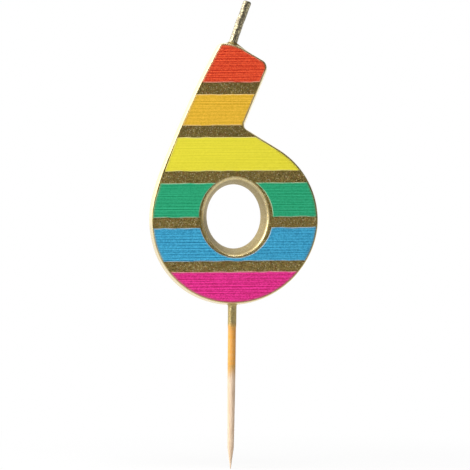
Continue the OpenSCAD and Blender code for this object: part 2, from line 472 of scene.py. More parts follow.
@dataclass(frozen=True)
class WickGlitter:
    """Waxed cotton under coarse gold glitter, with a tone of its own on every flake."""

    name: str = "wick_glitter"
    attribute: str = "flake"
    deep: Colour = Colour(76, 60, 14)
    light: Colour = Colour(218, 207, 156)
    grazing: Colour = Colour(255, 255, 252)
    wax_ior: float = 1.8
    rough: float = 0.41
    grit: float = 0.12
    grit_h: float = 0.02

    def material(self) -> bpy.types.Material:
        """Builds the glitter: tone and gloss from each flake's random value, under clear wax."""
        material, graph = new_material(self.name)
        luck = graph.attribute(self.attribute)
        grit = graph.noise(graph.place(), self.grit, 2.0)
        tone = graph.between(luck * 0.8 + grit * 0.2, 0.42, 1.0)
        graph.surface({
            "Base Color": graph.mix(tone, self.deep.linear(), self.light.linear()),
            "Metallic": 1.0,
            "Roughness": self.rough - luck * 0.1,
            "Specular Tint": self.grazing.linear(),
            "Coat Weight": 1.0,
            "Coat Roughness": self.rough,
            "Coat IOR": self.wax_ior,
            "Normal": graph.bump(grit * self.grit_h),
        })
        return material


@dataclass(frozen=True)
class CastWax:
    """Ivory wax as it comes out of the mould, under the dip."""

    name: str = "cast_wax"
    pale: Colour = Colour(244, 236, 214)
    warm: Colour = Colour(232, 218, 186)
    cloud: float = 6.0
    frost: float = 0.5
    frost_h: float = 0.02
    rough: float = 0.4

    def material(self) -> bpy.types.Material:
        """Builds the wax: cloudy ivory with faint frost on its surface."""
        material, graph = new_material(self.name)
        place = graph.place()
        cloud = graph.noise(place, self.cloud, 3.0)
        frost = graph.noise(place, self.frost, 3.0)
        graph.surface({
            "Base Color": graph.mix(cloud, self.pale.linear(), self.warm.linear()),
            "Roughness": frost * 0.2 + self.rough,
            "Normal": graph.bump(frost * self.frost_h),
        })
        return material


def ripples(points: np.ndarray, length: float, seed: int, waves: int = 14) -> np.ndarray:
    """Smooth unevenness of about -1 to 1: the scaled sum of sine waves that run in seeded directions.

    Args:
        points: places whose last axis holds the coordinates.
        length: about how long a wave is, in the points' unit.
        seed: picks the waves.
        waves: how many waves are added up.

    Returns:
        One value for each point.
    """
    rng = np.random.default_rng(seed)
    runs = rng.normal(size=(waves, points.shape[-1]))
    runs /= np.linalg.norm(runs, axis=1, keepdims=True) * length * rng.uniform(*WAVE_SPREAD, (waves, 1))
    phases = rng.uniform(0, FULL_TURN, waves)
    return np.sin(FULL_TURN * points @ runs.T + phases).sum(axis=-1) / math.sqrt(waves)


@dataclass(frozen=True)
class Patch:
    """A grid of points that is one stretch of a surface."""

    points: np.ndarray
    round_trip: bool = False

    def quads(self, first: int) -> np.ndarray:
        """Corner numbers of the grid's cells.

        Args:
            first: number of the patch's first point in the mesh.

        Returns:
            One row of four numbers for each cell, with the last column joined to the first on a round trip.
        """
        rows, columns = self.points.shape[:2]
        numbers = first + np.arange(rows * columns).reshape(rows, columns)
        if self.round_trip:
            numbers = np.hstack([numbers, numbers[:, :1]])
        corners = numbers[:-1, :-1], numbers[1:, :-1], numbers[1:, 1:], numbers[:-1, 1:]
        return np.stack(corners, axis=-1).reshape(-1, 4)


def stitch(
    name: str,
    patches: Sequence[Patch],
    values: Mapping[str, np.ndarray] | None = None,
) -> bpy.types.Object:
    """Joins patches into one closed, smooth object.

    Args:
        name: the object's name.
        patches: grids in millimetres, whose shared borders have the same points.
        values: numbers for every point of all patches, each kept as an attribute of that name.

    Returns:
        The new object, welded, with its faces pointing outward.
    """
    firsts = np.cumsum([0] + [p.points.shape[0] * p.points.shape[1] for p in patches])
    points = np.concatenate([p.points.reshape(-1, 3) for p in patches]) * MM
    quads = np.concatenate([p.quads(first) for p, first in zip(patches, firsts)])
    mesh = bpy.data.meshes.new(name)
    mesh.from_pydata(points, [], quads)
    for label, numbers in (values or {}).items():
        attribute = mesh.attributes.new(label, "FLOAT", "POINT")
        attribute.data.foreach_set("value", numbers.astype(np.float32).ravel())
    work = bmesh.new()
    work.from_mesh(mesh)
    bmesh.ops.remove_doubles(work, verts=work.verts, dist=WELD)
    bmesh.ops.dissolve_degenerate(work, dist=WELD, edges=work.edges)
    bmesh.ops.recalc_face_normals(work, faces=work.faces)
    work.to_mesh(mesh)
    work.free()
    mesh.polygons.foreach_set("use_smooth", np.ones(len(mesh.polygons), dtype=bool))
    made = bpy.data.objects.new(name, mesh)
    bpy.context.scene.collection.objects.link(made)
    return made


def finish_piece(
    piece: bpy.types.Object,
    material: bpy.types.Material,
    replaced: Sequence[str],
) -> None:
    """Dresses a piece, hides the frame's nodes that it stands for and logs its face count.

    Args:
        piece: the finished mesh object.
        material: what it is dressed in.
        replaced: the frame's nodes that it stands for.
    """
    piece.data.materials.append(material)
    if replaced:
        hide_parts(*replaced)
    log.info("%s: %d faces", piece.name, len(piece.data.polygons))


def heading(degrees: float | np.ndarray) -> np.ndarray:
    """Flat unit vectors at angles above the right."""
    turn = np.radians(degrees)
    return np.stack([np.cos(turn), np.sin(turn)], axis=-1)


def arc(centre: np.ndarray, radius: float, start: float, end: float, count: int) -> np.ndarray:
    """Points along a flat arc from one angle to another, in degrees."""
    return centre + radius * heading(np.linspace(start, end, count + 1))


def crossing(normal: np.ndarray, reach: float, other: np.ndarray, other_reach: float) -> np.ndarray:
    """Where two lines cross, each given by its normal and its distance from the bowl's centre."""
    return np.linalg.solve(np.stack([normal, other]), np.array([reach, other_reach]))


def turned(points: np.ndarray, degrees: float) -> np.ndarray:
    """Flat points turned about the bowl's centre."""
    along, up = heading(degrees), heading(degrees + 90)
    return points[..., :1] * along + points[..., 1:] * up


def ellipse(centre: Sequence[float], half_w: float, half_h: float, count: int = 720) -> np.ndarray:
    """Points round an ellipse, clockwise."""
    return np.array(centre) + heading(np.linspace(0, -360, count, endpoint=False)) * (half_w, half_h)


def widened(loop: np.ndarray, reach: float | np.ndarray) -> np.ndarray:
    """A clockwise loop whose stretches that face left are moved to the left.

    Args:
        loop: flat points.
        reach: how far a stretch that faces straight left moves, for all points or for each.

    Returns:
        The moved points.
    """
    along = np.roll(loop, -1, axis=0) - np.roll(loop, 1, axis=0)
    leftward = np.clip(along[:, 1] / np.maximum(np.linalg.norm(along, axis=-1), WELD), 0, 1)
    return loop - np.outer(reach * leftward ** 2, (1, 0))


def ends(loop: np.ndarray, heights: np.ndarray) -> tuple[np.ndarray, np.ndarray]:
    """Left and right end of a clockwise loop at each height.

    The loop is cut at its lowest and highest point, and each half is read as a function of height.

    Args:
        loop: flat points of a loop that crosses each height twice.
        heights: where to measure.

    Returns:
        How far right the left end and the right end lie.
    """
    loop = np.roll(loop, -loop[:, 1].argmin(), axis=0)
    top = loop[:, 1].argmax()
    left = loop[:top + 1]
    right = np.vstack([loop[top:], loop[:1]])[::-1]
    return np.interp(heights, left[:, 1], left[:, 0]), np.interp(heights, right[:, 1], right[:, 0])


@dataclass(frozen=True)
class Rows:
    """A flat region as rows, each with a left half and a right half that part at a slit."""

    heights: np.ndarray
    left: np.ndarray
    slit_left: np.ndarray
    slit_right: np.ndarray
    right: np.ndarray

    @classmethod
    def of(cls, loop: np.ndarray, heights: np.ndarray, cut: np.ndarray | None = None) -> "Rows":
        """Reads a region off its outline.

        Past the cut's ends the slit closes, and its line keeps the share of the width that it has there.

        Args:
            loop: the region's outline, clockwise.
            heights: the heights of the rows.
            cut: a hole's outline, clockwise, which opens the slit.

        Returns:
            The rows.
        """
        left, right = ends(loop, heights)
        if cut is None:
            middle = (left + right) / 2
            return cls(heights, left, middle, middle, right)
        tips = cut[[cut[:, 1].argmin(), cut[:, 1].argmax()]]
        tip_left, tip_right = ends(loop, tips[:, 1])
        share = np.interp(heights, tips[:, 1], (tips[:, 0] - tip_left) / (tip_right - tip_left))
        middle = left + (right - left) * share
        cut_left, cut_right = ends(cut, heights)
        at_tip = np.isclose(heights, tips[0, 1]) | np.isclose(heights, tips[1, 1])
        inside = (heights > tips[0, 1]) & (heights < tips[1, 1]) & ~at_tip
        slit_left = np.where(inside, cut_left, middle)
        slit_right = np.where(inside, cut_right, middle)
        return cls(heights, left, slit_left, slit_right, right)

    def opened(self) -> "Rows":
        """The rows along which the slit is open, with the two at which it closes."""
        open_rows = np.flatnonzero(self.slit_right - self.slit_left > WELD)
        kept = slice(open_rows[0] - 1, open_rows[-1] + 2)
        columns = self.heights, self.left, self.slit_left, self.slit_right, self.right
        return Rows(*(values[kept] for values in columns))

    def halves(self, columns: np.ndarray) -> tuple[np.ndarray, np.ndarray]:
        """Flat points of the left half and the right half.

        Args:
            columns: shares of a half's width, from 0 to 1.

        Returns:
            Two grids of rows by columns.
        """
        pairs = (self.left, self.slit_left), (self.slit_right, self.right)
        widths = [a[:, None] + (b - a)[:, None] * columns for a, b in pairs]
        levels = np.broadcast_to(self.heights[:, None], widths[0].shape)
        return tuple(np.stack([w, levels], axis=-1) for w in widths)


@dataclass(frozen=True)
class DigitOutline:
    """The digit's outline: the sizes of the frame's solids, and a convex crown on the stem's top."""

    digit_h: float = 79.2
    bowl_r: float = 25.4
    bowl_sway: float = 0.65
    bowl_sag: float = 0.25
    side_r: float = 245.0
    side_rise: float = 17.5
    stem_w: float = 16.7
    stem_lean: float = 22.6
    top_slope: float = 22.5
    crown_r: float = 12.6
    crown_lift: float = 0.27
    crown_start: float = 0.5
    crown_slope: float = 30.4
    brow_rise: float = 58.5
    wick_corner_r: float = 1.7
    right_corner_r: float = 3.2
    notch_r: float = 1.0
    least_r: float = 0.1
    bowl_points: int = 900
    side_points: int = 200
    corner_points: int = 60

    @property
    def bowl_z(self) -> float:
        """Height of the bowl's centre above the digit's lowest point."""
        return self.bowl_r + self.bowl_sag

    @property
    def side_centre(self) -> np.ndarray:
        """Centre of the long left arc, which touches the bowl from inside."""
        return (self.side_r - self.bowl_r) * heading(-self.side_rise)

    @property
    def wick_corner(self) -> np.ndarray:
        """The corner beside the wick, before it is rounded."""
        up = self.digit_h - self.bowl_z
        rise = up - self.side_centre[1]
        return np.array([self.side_centre[0] - math.sqrt(self.side_r ** 2 - rise ** 2), up])

    @property
    def top_normal(self) -> np.ndarray:
        """Outward normal of the stem's sloping top."""
        return heading(90 - self.top_slope)

    @property
    def top_run(self) -> np.ndarray:
        """Direction down the stem's top."""
        return heading(-self.top_slope)

    def notch(self, grow: float) -> tuple[np.ndarray, float]:
        """Centre and radius of the rounding between stem and brow, on the outline moved outward."""
        stem = heading(-self.stem_lean)
        reach = stem @ (self.wick_corner + self.stem_w * self.top_run)
        radius = max(self.notch_r - grow, self.least_r)
        brow = heading(self.brow_rise)
        return crossing(stem, reach + grow + radius, brow, self.bowl_r + grow + radius), radius

    def bowl(self, grow: float) -> np.ndarray:
        """Arc of the bowl moved outward, whose lower half sways to the left and sags downward."""
        start, end = self.brow_rise, -180 - self.side_rise
        points = arc(np.zeros(2), self.bowl_r + grow, start, end, self.bowl_points)
        down = np.clip(-points[:, 1:] / self.bowl_r, 0, 1)
        return points - np.array([self.bowl_sway, self.bowl_sag]) * down ** 2 * (3 - 2 * down)

    def loop(self, grow: float) -> np.ndarray:
        """Points of the outline moved outward, clockwise: bowl, left side, corner, crown, corner and notch.

        Args:
            grow: how far it is moved outward, all round.

        Returns:
            Flat points, with the round stretches as arcs.
        """
        side, top, run = self.side_centre, self.top_normal, self.top_run
        top_reach = top @ self.wick_corner + self.crown_lift + grow
        left_r = max(self.wick_corner_r + grow, self.least_r)
        depth = top_reach - left_r - top @ side
        left = side + depth * top - math.sqrt((self.side_r + grow - left_r) ** 2 - depth ** 2) * run
        meet = math.degrees(math.atan2(*(left - side)[::-1]))
        stem = heading(-self.stem_lean)
        stem_reach = stem @ (self.wick_corner + self.stem_w * run) + grow
        right_r = max(self.right_corner_r + grow, self.least_r)
        crown_r, start, end = self.crown_r + grow, 90 - self.crown_start, 90 - self.crown_slope
        crown = left - (crown_r - left_r) * heading(start)
        slope = heading(end)
        right = crossing(slope, slope @ crown + crown_r - right_r, stem, stem_reach - right_r)
        notch, notch_r = self.notch(grow)
        lean, rise, corner = self.stem_lean, self.brow_rise, self.corner_points
        return np.concatenate([
            self.bowl(grow),
            arc(side, self.side_r + grow, 180 - self.side_rise, meet, self.side_points)[1:],
            arc(left, left_r, meet, start, corner)[1:],
            arc(crown, crown_r, start, end, corner)[1:],
            arc(right, right_r, end, -lean, corner),
            arc(notch, notch_r, 180 - lean, 180 + rise, corner),
        ])


@dataclass(frozen=True)
class WickLine:
    """The wick's straight axis, from the pivot on which it bends."""

    pivot: np.ndarray
    lean: float = 19.7
    radius: float = 1.22
    foot_drop: float = 1.3

    @property
    def axis(self) -> np.ndarray:
        """Direction from root to tip."""
        right, up = heading(90 - self.lean)
        return np.array([right, 0.0, up])

    @property
    def side(self) -> np.ndarray:
        """Direction across the wick, to the right and down."""
        right, down = heading(-self.lean)
        return np.array([right, 0.0, down])

    @property
    def foot(self) -> np.ndarray:
        """Where the axis leaves the top of the stem."""
        return self.pivot - self.foot_drop * self.axis


@dataclass(frozen=True)
class GoldCoat:
    """The gold dip as one closed skin: both faces, the drafted side, the hole and a bead at the wick."""

    outline: DigitOutline
    wick: WickLine
    front: float
    back: float
    bowl_x: float
    draft: float = 0.75
    left_reach: float = 0.22
    bulge: float = 0.4
    bulge_rise: float = 13.5
    bulge_h: float = 8.0
    edge_r: float = 0.3
    hole_w: float = 19.6
    hole_h: float = 23.3
    hole_draft: float = 1.7
    hole_curve: float = 0.65
    hole_rise: float = 0.8
    hole_lift: float = 0.3
    lip: float = 2.0
    # painted shade in the hole: how flaky, and so how dark and rough, its wall turns past the lip, and over
    # which depths
    painted_hole_shade: float = 0.92
    hole_shade_depths: tuple[float, float] = (-0.5, 6.0)
    # painted reflection: how far edges that face down lose their flakes
    painted_underside_reflection: float = 0.9
    top_h: float = 10.0
    bead_h: float = 0.85
    bead_spread: float = 0.42
    bead_run: float = 1.5
    bead_flaky: float = 4.0
    unevenness: float = 0.035
    wave: float = 9.0
    edge_steps: int = 6
    side_steps: int = 36
    front_columns: int = 12
    back_columns: int = 22
    support: float = 0.004
    runs: tuple[tuple[int, Ease], ...] = (
        (40, Ease.ENDS), (96, Ease.ENDS), (56, Ease.ENDS), (36, Ease.START), (90, Ease.END),
    )

    def depths(self) -> np.ndarray:
        """Places through the thickness, with the steps of two rounded edges and of the side between them.

        Returns:
            For each place how deep it is and how far its rounding draws in.
        """
        turn = np.linspace(0, math.pi / 2, self.edge_steps + 1)
        sunk, drawn = self.edge_r * (1 - np.cos(turn)), self.edge_r * (1 - np.sin(turn))
        side = np.linspace(self.front + self.edge_r, self.back - self.edge_r, self.side_steps + 1)[1:-1]
        deep = np.concatenate([self.front + sunk, side, self.back - sunk[::-1]])
        return np.stack([deep, np.concatenate([drawn, np.zeros(len(side)), drawn[::-1]])], axis=-1)

    def section(self, deep: float, drawn: float) -> Rows:
        """The digit cut through at one depth.

        The outline draws in toward the front and the hole toward the back.

        Args:
            deep: the place through the thickness.
            drawn: how far a rounded edge draws the outline in and the hole out there.

        Returns:
            Rows that crowd at the lowest and highest point, round the hole and at the notch.
        """
        share = (deep - self.front) / (self.back - self.front)
        grow = -self.draft * (1 - share) - drawn
        half_w = self.hole_w / 2 - self.hole_draft * share ** self.hole_curve + drawn * self.lip
        middle = np.array([0, self.hole_rise + self.hole_lift * share])
        hole = ellipse(middle, half_w, half_w * self.hole_h / self.hole_w)
        loop = self.outline.loop(grow)
        bulge = self.bulge * np.exp(-((loop[:, 1] - self.bulge_rise) / self.bulge_h) ** 2)
        loop = widened(loop, self.left_reach * (1 - share) + bulge)
        low, high = loop[:, 1].min(), loop[:, 1].max()
        notch = self.outline.notch(grow)[0][1]
        marks = [low, hole[:, 1].min(), hole[:, 1].max(), notch, high - self.top_h, high]
        spans = zip(marks, marks[1:], self.runs)
        heights = [start + (end - start) * ease.steps(count)[:-1] for start, end, (count, ease) in spans]
        return Rows.of(loop, np.append(np.concatenate(heights), high), hole)

    def lift(self, flat: np.ndarray, deep: np.ndarray | float) -> np.ndarray:
        """Flat points of the digit put into the frame at a depth."""
        right, up = flat[..., 0] + self.bowl_x, flat[..., 1] + self.outline.bowl_z
        return np.stack([right, np.broadcast_to(deep, right.shape), up], axis=-1)

    def face(self, rows: Rows, deep: float, columns: int, unevenness: float) -> list[Patch]:
        """One flat face of the digit, which bulges a little away from its borders.

        Args:
            rows: the face's rows.
            deep: its place through the thickness.
            columns: how many columns each half has.
            unevenness: how far it bulges along the thickness.

        Returns:
            Its left half and its right half.
        """
        inner = np.linspace(0, 1, columns - 1)[1:-1]
        shares = np.concatenate([[0, self.support], inner, [1 - self.support, 1]])
        rise = np.sin(math.pi * np.linspace(0, 1, len(rows.heights)))[:, None]
        patches = []
        for flat in rows.halves(shares):
            calm = np.sin(math.pi * shares) ** 0.5 * rise
            bulged = deep + unevenness * calm * ripples(flat, self.wave, Seed.FACE)
            patches.append(Patch(self.lift(flat, bulged)))
        return patches

    def ring(self, left: np.ndarray, right: np.ndarray, heights: np.ndarray, deep: float) -> np.ndarray:
        """A loop up the left ends of rows and down their right ends, in the frame at a depth."""
        up = np.stack([left, heights], axis=-1)
        down = np.stack([right, heights], axis=-1)[-2:0:-1]
        return self.lift(np.concatenate([up, down]), deep)

    def bead(self, points: np.ndarray) -> np.ndarray:
        """How far the dip stands up round the wick.

        The bead falls off exponentially with the distance from the wick, more slowly down the slope.

        Args:
            points: places on the side of the digit.

        Returns:
            The rise along the normal of the stem's top.
        """
        away = points - self.wick.foot
        along = away @ self.wick.axis
        across = away - along[..., None] * self.wick.axis
        distance = np.linalg.norm(across, axis=-1)
        downhill = np.clip(across @ self.wick.side / np.maximum(distance, self.edge_r), 0, 1)
        spread = self.bead_spread + self.bead_run * downhill ** 2
        reach = np.maximum(distance - self.wick.radius, 0)
        return self.bead_h * np.exp(-reach / spread) * np.exp(-along ** 2)

    def build(self) -> bpy.types.Object:
        """Makes the skin from its front face, its back face, its side and the wall of its hole."""
        places = self.depths()
        sections = [self.section(deep, drawn) for deep, drawn in places]
        levels = list(zip(sections, places[:, 0]))
        side = np.stack([self.ring(s.left, s.right, s.heights, deep) for s, deep in levels])
        along = np.roll(side, -1, axis=1) - np.roll(side, 1, axis=1)
        outward = np.cross(along, np.gradient(side, axis=0))
        outward /= np.linalg.norm(outward, axis=-1, keepdims=True)
        calm = np.sin(math.pi * np.linspace(0, 1, len(places)))[:, None]
        up_right, up = self.outline.top_normal
        pool = self.bead(side) * calm
        rise = pool[..., None] * np.array([up_right, 0, up])
        swell = self.unevenness * calm * ripples(side, self.wave, Seed.SIDE)
        side = side + swell[..., None] * outward + rise
        levels = [(s.opened(), deep) for s, deep in levels]
        wall = np.stack([self.ring(s.slit_left, s.slit_right, s.heights, deep) for s, deep in levels])
        borders = [Patch(side, round_trip=True), Patch(wall, round_trip=True)]
        faces = self.face(sections[0], self.front, self.front_columns, 0.0)
        faces += self.face(sections[-1], self.back, self.back_columns, self.unevenness)
        middle = np.arange(len(places)) - (len(places) - 1) / 2
        near_face = np.clip((abs(middle) - middle[-1]) / self.edge_steps + 1, 0, 1)[:, None]
        # painted shade: past the smooth lip the hole's wall turns flaky, darker and rougher than the outer
        # side
        shaded_hole_wall = np.clip(np.linspace(*self.hole_shade_depths, len(places)), 0, self.painted_hole_shade)[:, None]
        # painted reflection: where the side faces down, its rounded edges lose their flakes and take the
        # pale smooth film, standing in for the floor's reflection on the bottom rim
        pale = self.painted_underside_reflection * np.clip(-outward[..., 2], 0, 1)
        pooled = np.clip(self.bead_flaky * pool / self.bead_h, 0, 1)
        on_side = np.maximum(near_face * (1 - pale), pooled)
        in_hole = np.maximum(near_face, shaded_hole_wall)
        shares = [on_side, in_hole, *np.ones(len(faces))]
        patches = borders + faces
        flaky = [np.broadcast_to(share, p.points.shape[:2]).ravel() for share, p in zip(shares, patches)]
        return stitch("gold_dip_skin", patches, {GoldDip.attribute: np.concatenate(flaky)})


class StripeSide(Enum):
    """Which part of a row a stripe takes."""

    WHOLE = "whole"
    LEFT = "left"
    RIGHT = "right"


@dataclass(frozen=True)
class Stripe:
    """One raised stripe: its node, its finish, its two edges, and the part of the face that it takes."""

    node: str
    wax: Wax
    low: float
    high: float
    side: StripeSide = StripeSide.WHOLE


@dataclass(frozen=True)
class StripeFace:
    """The seven wax stripes on the gold face, with soft edges and fine lines along them."""

    coat: GoldCoat
    thickness: float
    tilt: float = 0.5
    margin: float = 0.05
    rim_side: float = 0.9
    rim_end: float = 0.1
    cutout_x: float = 0.2
    blue_under: float = 1.0
    blue_h: float = 10.0
    green_h: float = 10.3
    yellow_h: float = 10.1
    orange_h: float = 9.3
    low_gap: float = 3.1
    high_gap: float = 3.5
    sunk: float = 0.06
    soft_r: float = 0.2
    line_depth: float = 0.004
    line_swing: float = 0.25
    line_count: int = 9
    line_lengths: tuple[float, float] = (0.3, 1.0)
    line_drift: float = 1.1
    drift_lengths: tuple[float, float] = (6.0, 16.0)
    row_step: float = 0.1
    columns: int = 26
    edge_steps: int = 5
    edge_wave: float = 0.05
    edge_length: float = 7.0
    edge_fade: int = 6
    border: float = 0.02
    gilt_w: float = 0.8
    gilt_fade: float = 1.5
    gilt_skip: int = 3

    @property
    def cutout_half_h(self) -> float:
        """Half the height of the bare ring round the hole."""
        coat = self.coat
        return coat.hole_h / 2 + coat.edge_r * coat.hole_h / coat.hole_w + self.rim_end

    def cutout(self, grow: float) -> np.ndarray:
        """Outline of the bare ring round the hole, widened by grow, in the stripes' own frame."""
        coat = self.coat
        half_w = coat.hole_w / 2 + coat.edge_r + self.rim_side + grow
        ring = ellipse((self.cutout_x, coat.hole_rise), half_w, self.cutout_half_h + grow)
        return turned(ring, -self.tilt)

    def outline(self, inset: float) -> np.ndarray:
        """Outer limit of the stripes, moved inward and turned into the stripes' own frame."""
        coat = self.coat
        loop = coat.outline.loop(-coat.draft - coat.edge_r - self.margin - inset)
        return turned(widened(loop, coat.left_reach), -self.tilt)

    def stripes(self) -> list[Stripe]:
        """The stripes from top to bottom, with heights that are counted up and down from the cut-out."""
        coat = self.coat
        blue = coat.hole_rise - self.cutout_half_h - self.blue_under
        green = blue + self.blue_h + self.low_gap
        yellow = green + self.green_h + self.high_gap
        orange = yellow + self.yellow_h + self.high_gap
        red = orange + self.orange_h + self.high_gap
        top, bottom = coat.outline.digit_h, -coat.outline.digit_h
        left, right = StripeSide.LEFT, StripeSide.RIGHT
        return [
            Stripe("red_stripe", Wax.RED, red, top),
            Stripe("orange_stripe", Wax.ORANGE, orange, orange + self.orange_h),
            Stripe("yellow_stripe", Wax.YELLOW, yellow, yellow + self.yellow_h),
            Stripe("green_stripe_left", Wax.GREEN, green, green + self.green_h, left),
            Stripe("green_stripe_right", Wax.GREEN, green, green + self.green_h, right),
            Stripe("blue_stripe", Wax.BLUE, blue, blue + self.blue_h),
            Stripe("magenta_stripe", Wax.MAGENTA, bottom, blue - self.low_gap),
        ]

    def rows(self, stripe: Stripe, inset: float) -> Rows:
        """The stripe's region, drawn in on all sides.

        Args:
            stripe: which stripe.
            inset: how far its border is drawn in.

        Returns:
            Rows in the stripes' own frame, as many at each inset.
        """
        loop, cut = self.outline(inset), self.cutout(inset)
        low = max(stripe.low + inset, loop[:, 1].min())
        high = min(stripe.high - inset, loop[:, 1].max())
        ease = Ease.EVEN
        if stripe.low + inset < low:
            ease = Ease.START
        elif stripe.high - inset > high:
            ease = Ease.END
        cut_low = cut[:, 1].min()
        full = self.outline(0)[:, 1]
        count = round((min(stripe.high, full.max()) - max(stripe.low, full.min())) / self.row_step)
        if low < cut_low < high and stripe.side is StripeSide.WHOLE:
            under = round(self.blue_under / self.row_step)
            heights = np.concatenate([
                low + (cut_low - low) * Ease.EVEN.steps(under)[:-1],
                cut_low + (high - cut_low) * Ease.START.steps(count - under),
            ])
            return Rows.of(loop, heights, cut)
        heights = low + (high - low) * ease.steps(count)
        whole = Rows.of(loop, heights)
        if stripe.side is StripeSide.WHOLE:
            return whole
        cut_left, cut_right = ends(cut, heights)
        left, right = (whole.left, cut_left) if stripe.side is StripeSide.LEFT else (cut_right, whole.right)
        middle = (left + right) / 2
        return Rows(heights, left, middle, middle, right)

    def lines(self, flat: np.ndarray, seed: int) -> np.ndarray:
        """Fine lines that run along the stripe and drift a little, from about -1 to 1.

        They are sine waves across the stripe with slowly drifting phases.

        Args:
            flat: places in the stripes' own frame.
            seed: picks the waves.

        Returns:
            One value for each place.
        """
        rng = np.random.default_rng(seed)
        count = self.line_count
        lengths = np.geomspace(*self.line_lengths, count) * rng.uniform(0.9, 1.1, count)
        phases, starts = rng.uniform(0, FULL_TURN, (2, count))
        drift = self.line_drift * np.sin(flat[..., :1] / rng.uniform(*self.drift_lengths, count) + starts)
        waves = np.sin(FULL_TURN * flat[..., 1:] / lengths + phases + drift)
        return waves.sum(axis=-1) / math.sqrt(count)

    def inner(self, halves: Sequence[np.ndarray], columns: np.ndarray) -> list[np.ndarray]:
        """How far inside its border each place of two halves lies, from 0 on it to 1 a little inside.

        Args:
            halves: the grid's left half and right half.
            columns: shares of a half's width at which its columns lie.

        Returns:
            One grid of values for each half.
        """
        rows = np.linspace(0, 1, len(halves[0]))
        from_end = np.clip(np.minimum(rows, 1 - rows) / self.border, 0, 1)[:, None]
        opened = np.linalg.norm(halves[1][:, 0] - halves[0][:, -1], axis=-1) > WELD
        opened = (opened | np.roll(opened, -1))[:, None]
        values = []
        for from_side in columns, columns[::-1]:
            from_slit = np.where(opened, from_side[::-1], 1)
            values.append(from_end * np.clip(np.minimum(from_side, from_slit) / self.border, 0, 1))
        return values

    def rim(self, halves: Sequence[np.ndarray]) -> np.ndarray:
        """Border of a grid of two halves, once round, in and out of its slit."""
        left, right = halves
        gap = np.linalg.norm(right[:, 0] - left[:, -1], axis=-1) > WELD
        floor = np.flatnonzero(gap)[0] - 1 if gap.any() else len(left) - 1
        return np.concatenate([
            left[0], right[0, 1:], right[1:, -1], right[-1, -2::-1], right[-2:floor:-1, 0],
            left[floor:, -1], left[-1, -2::-1], left[-2:0:-1, 0],
        ])

    def build(self, stripe: Stripe, seed: int) -> bpy.types.Object:
        """Makes one stripe: a sunk underside, rounded edges and a top with fine lines.

        Args:
            stripe: which stripe.
            seed: picks its lines and the waves of its edges.

        Returns:
            The closed piece, with its lines kept as an attribute for its finish.
        """
        coat = self.coat
        turn = np.linspace(0, math.pi / 2, self.edge_steps + 1)
        insets = np.concatenate([[0], self.soft_r * (1 - np.cos(turn))])
        stands = np.concatenate([[-self.sunk], self.thickness - self.soft_r * (1 - np.sin(turn))])
        columns = Ease.ENDS.steps(self.columns)
        layers = [self.rows(stripe, inset).halves(columns) for inset in insets]
        layers = [[self.wavy(half, seed) for half in halves] for halves in layers]
        rims = np.stack([self.rim(halves) for halves in layers])
        edges = coat.lift(turned(rims, self.tilt), (coat.front - stands)[:, None])
        patches = [Patch(edges, round_trip=True)]
        brushed = [self.lines(rims, seed).ravel()]
        # edge marks the rims, where the wax's finish paints its highlight
        edge = [np.ones(brushed[0].shape)]
        gilt = [self.gilt(rims)]
        for halves, stand in (layers[0], stands[0]), (layers[-1], stands[-1]):
            for half, inner in zip(halves, self.inner(halves, columns)):
                lines = self.lines(half, seed)
                relief = self.line_depth * inner * lines if stand > 0 else 0 * lines
                patches.append(Patch(coat.lift(turned(half, self.tilt), coat.front - stand - relief)))
                brushed.append(lines.ravel())
                edge.append((inner == 0).ravel())
                gilt.append(self.gilt(half))
        finish = stripe.wax.value
        values = {
            finish.attribute: np.concatenate(brushed) * self.line_swing + 0.5,
            finish.edge_attribute: np.concatenate(edge),
            finish.gilt_attribute: np.concatenate(gilt),
        }
        return stitch("wax_" + stripe.node, patches, values)

    def gilt(self, flat: np.ndarray) -> np.ndarray:
        """How much gold the dip left on the wax: from 1 on the digit's outline to 0 at gilt_w inside it.

        Args:
            flat: places in the stripes' own frame.

        Returns:
            One value for each place, in a row.
        """
        loop = self.outline(0)[::self.gilt_skip]
        away = flat.reshape(-1, 1, 2) - loop
        distance = np.sqrt((away ** 2).sum(axis=-1).min(axis=1))
        return np.clip(1 - distance / self.gilt_w, 0, 1) ** self.gilt_fade

    def wavy(self, half: np.ndarray, seed: int) -> np.ndarray:
        """Bends the upper and lower edge of a grid by a hair, as a poured edge lies."""
        share = np.linspace(0, 1, half.shape[0])[:, None]
        along = half[..., :1]
        low = ripples(along, self.edge_length, seed) * (1 - share) ** self.edge_fade
        high = ripples(along, self.edge_length, seed + Seed.UPPER_EDGES) * share ** self.edge_fade
        moved = half.copy()
        moved[..., 1] += self.edge_wave * (low + high)
        return moved

    def dress(self) -> None:
        """Builds every stripe, and puts it on the candle in the place of its node."""
        materials = {wax: wax.value.material() for wax in Wax}
        for number, stripe in enumerate(self.stripes()):
            piece = self.build(stripe, Seed.STRIPES + number)
            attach(piece, Body.CANDLE.value)
            finish_piece(piece, materials[stripe.wax], [stripe.node])


